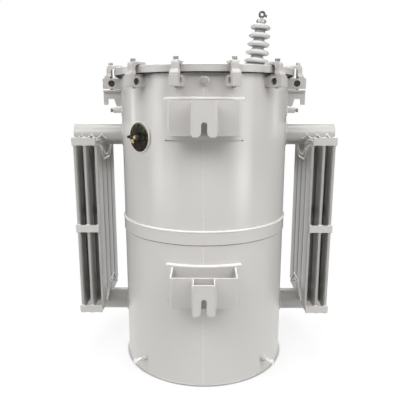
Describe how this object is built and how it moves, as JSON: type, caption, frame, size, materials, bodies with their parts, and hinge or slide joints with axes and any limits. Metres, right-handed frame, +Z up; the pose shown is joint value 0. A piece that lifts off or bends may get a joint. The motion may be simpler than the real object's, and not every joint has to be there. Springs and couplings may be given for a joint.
{
  "type": "pole-mounted distribution transformer",
  "caption": "Cylindrical oil-filled transformer tank with clamped lid, one high-voltage bushing, pole brackets, lifting lugs and a fluted panel radiator on each side.",
  "frame": {"origin": "centre of the tank base's underside", "axes": "+Z up along the tank's axis; -Y towards the pole, out of the pole brackets' faces; +X towards the side of the lid that carries the high-voltage bushing"},
  "size_m": [1.074, 1.009, 1.4409],
  "materials": {
    "tank_paint": "light grey enamel, satin",
    "plated_steel": "zinc plated, dulled",
    "seal_rubber": "nitrile cork, dull",
    "glaze": "sky-grey glazed porcelain",
    "tinned_bronze": "tin plated, dull",
    "dial_black": "black moulding, glossy",
    "bare_brass": "turned brass",
    "core_iron": "wound core strip",
    "winding": "paper covered"
  },
  "bodies": {
    "transformer": {"tank_shell": "tank_paint", "tank_base": "tank_paint", "tank_flange": "tank_paint", "tank_band": "tank_paint", "lid": "tank_paint", "clamp_blocks": "tank_paint", "clamp_jaws": "tank_paint", "upper_pad": "tank_paint", "upper_bracket": "tank_paint", "upper_hook": "tank_paint", "lower_pad": "tank_paint", "lower_bracket": "tank_paint", "lower_hook": "tank_paint", "filler_boss": "tank_paint", "filler_plug": "tank_paint", "lug_pads": "tank_paint", "lug_left": "tank_paint", "lug_right": "tank_paint", "bosses": "tank_paint", "tap_collar": "tank_paint", "header_upper_left": "tank_paint", "header_upper_right": "tank_paint", "header_lower_left": "tank_paint", "header_lower_right": "tank_paint", "panel_left_1": "tank_paint", "panel_left_2": "tank_paint", "panel_left_3": "tank_paint", "panel_right_1": "tank_paint", "panel_right_2": "tank_paint", "panel_right_3": "tank_paint", "ties_left": "tank_paint", "ties_right": "tank_paint", "clamp_bolts": "plated_steel", "clamp_barrels": "plated_steel", "boss_bolts": "plated_steel", "hv_ring_screws": "plated_steel", "hv_ring": "plated_steel", "lid_gasket": "seal_rubber", "hv_gasket": "seal_rubber", "hv_porcelain": "glaze", "lv_bushings": "glaze", "hv_cap": "tinned_bronze", "hv_eye": "tinned_bronze", "hv_screw": "tinned_bronze", "hv_rod": "tinned_bronze", "lv_spades": "tinned_bronze", "lv_nuts": "tinned_bronze", "tap_dial": "dial_black", "tap_switch": "dial_black", "core": "core_iron", "core_frame": "core_iron", "lv_coil": "winding", "hv_coil": "winding", "winding_leads": "winding"},
    "tap_handle": {"tap_grip": "dial_black", "tap_spindle": "bare_brass", "tap_nut": "bare_brass", "tap_lock_screw": "bare_brass", "tap_lock_knob": "dial_black"}
  },
  "joints": [
    {"name": "tap_turn", "type": "hinge", "parent": "transformer", "child": "tap_handle", "pos_m": [-0.24395, -0.24395, 0.959], "axis": [-0.7071, -0.7071, 0], "range_deg": [-60, 60]}
  ]
}
